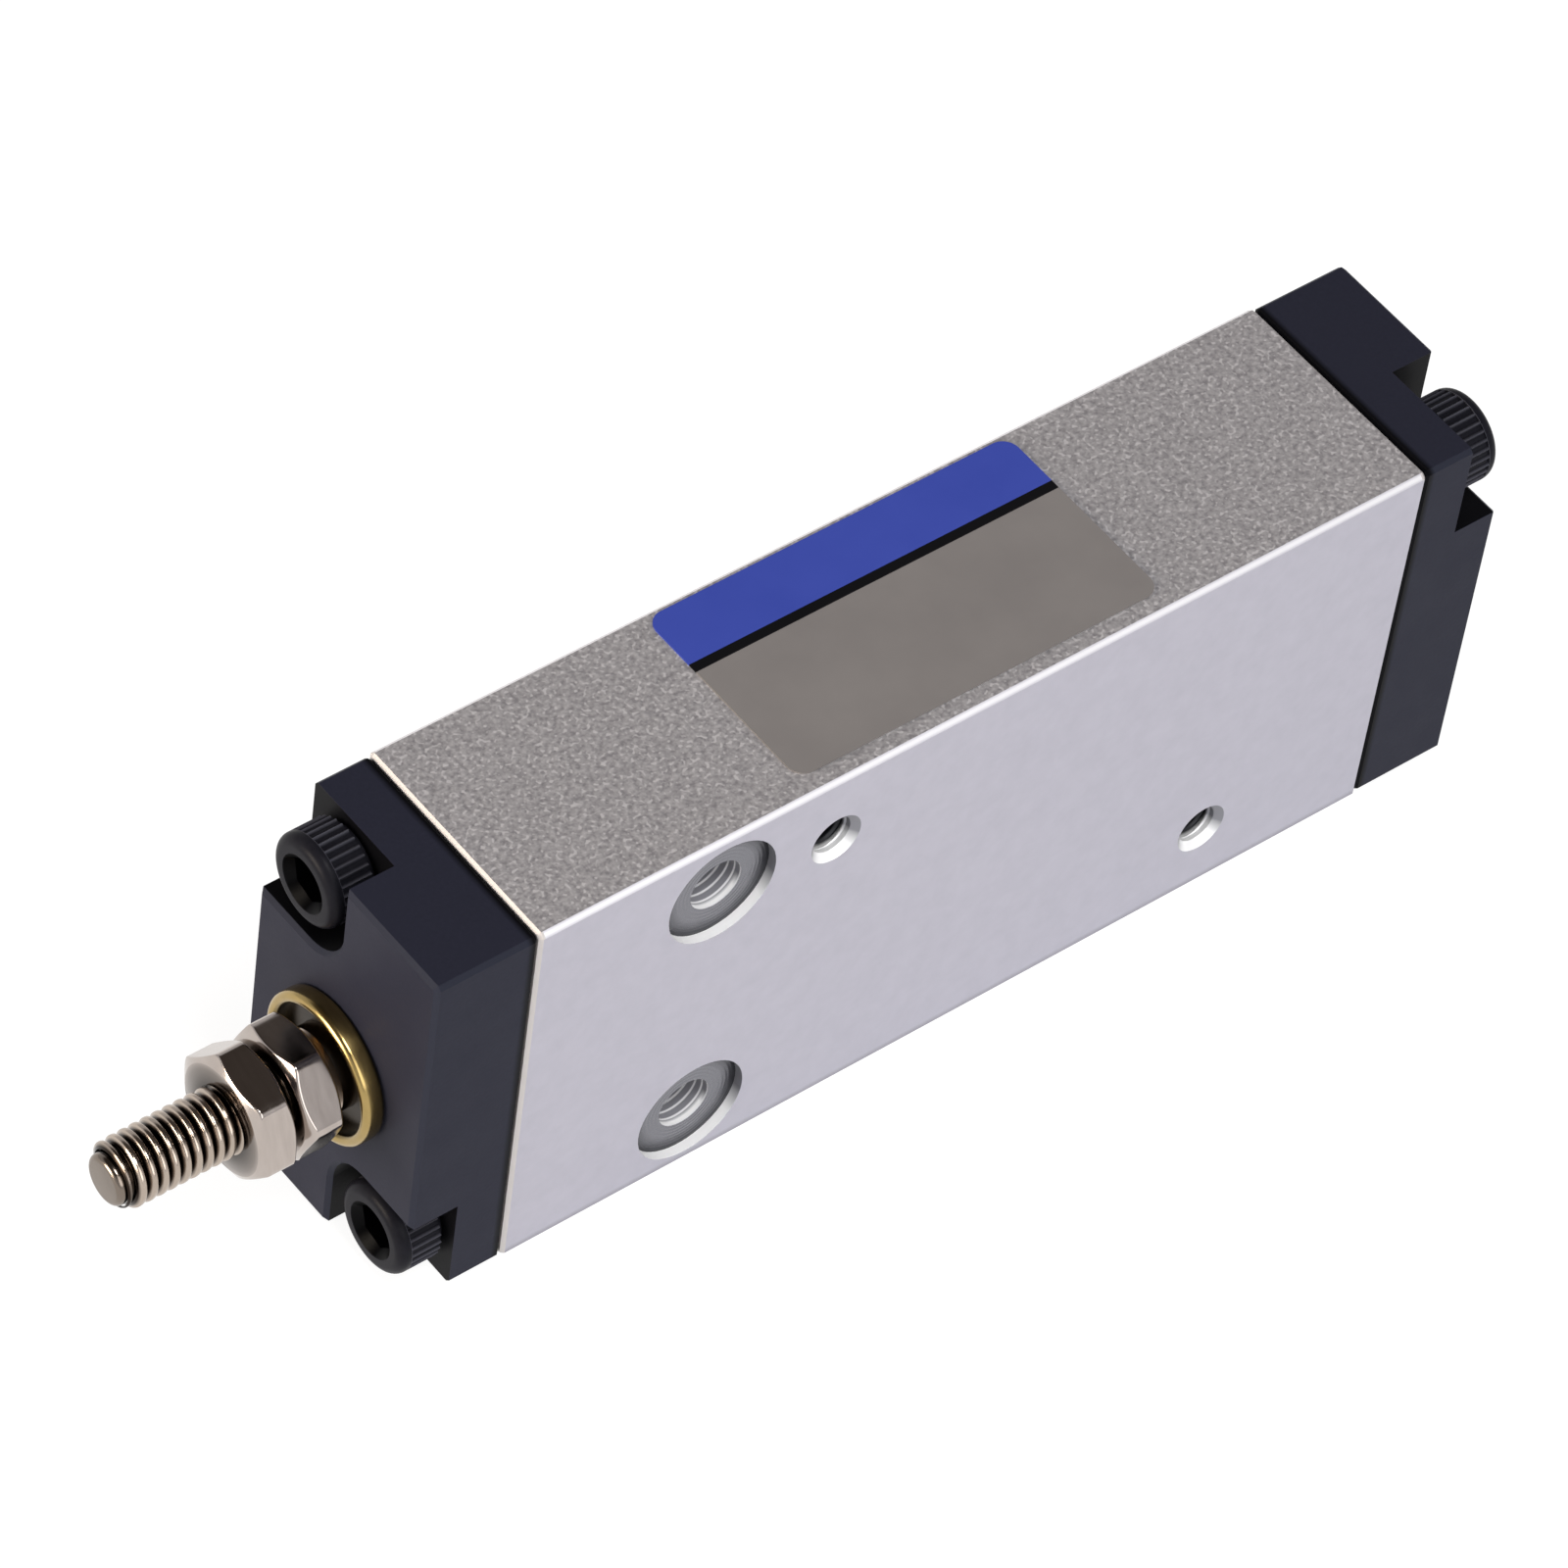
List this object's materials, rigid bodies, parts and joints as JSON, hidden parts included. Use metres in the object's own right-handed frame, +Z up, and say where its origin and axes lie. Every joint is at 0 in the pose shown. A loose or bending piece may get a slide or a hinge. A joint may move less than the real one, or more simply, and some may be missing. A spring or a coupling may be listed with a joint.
{
  "type": "compact pneumatic cylinder",
  "caption": "Compact pneumatic cylinder with a rectangular tube, black bolted end covers, spot-faced and tapped mounting holes, and a sliding rod with a male thread and lock nuts.",
  "frame": {"origin": "middle of the seat face, the tube's wide face opposite the spot-faced holes", "axes": "+X along the rod as it extends, +Y from the seat face to the face with the mounting holes, +Z up to the label"},
  "size_m": [0.0877, 0.015, 0.0265],
  "materials": {
    "tube_aluminium": "natural anodised, fine grained",
    "cover_black": "black anodised, matt",
    "seal_rubber": "moulded nitrile, matt",
    "screw_black_steel": "black oxide, knurled heads",
    "bush_brass": "turned, bright",
    "label_film": "satin film with a blue band and a black line",
    "piston_aluminium": "turned",
    "wear_ring_plastic": "moulded acetal",
    "bumper_rubber": "moulded urethane, matt",
    "rod_steel": "ground and chromed, rolled thread",
    "nut_nickel": "nickel plated"
  },
  "bodies": {
    "cylinder_body": {"cylinder_tube": "tube_aluminium", "rod_cover": "cover_black", "head_cover": "cover_black", "rod_cover_ring": "seal_rubber", "head_cover_ring": "seal_rubber", "rod_cover_screws": "screw_black_steel", "head_cover_screws": "screw_black_steel", "rod_bush": "bush_brass", "rod_packing": "seal_rubber", "label_film": "label_film"},
    "piston_rings": {"rear_piston_packing": "seal_rubber", "wear_ring": "wear_ring_plastic", "front_piston_packing": "seal_rubber"},
    "rod_assembly": {"piston": "piston_aluminium", "piston_rod": "rod_steel", "rear_bumper": "bumper_rubber", "front_bumper": "bumper_rubber", "rod_ring": "seal_rubber", "inner_nut": "nut_nickel", "outer_nut": "nut_nickel"}
  },
  "joints": [
    {"name": "rod_stroke", "type": "slide", "parent": "cylinder_body", "child": "piston_rings", "axis": [1, 0, 0], "range_m": [0, 0.03]},
    {"name": "rod_turn", "type": "hinge", "parent": "piston_rings", "child": "rod_assembly", "pos_m": [0, 0.0075, 0], "axis": [1, 0, 0], "continuous": true}
  ]
}
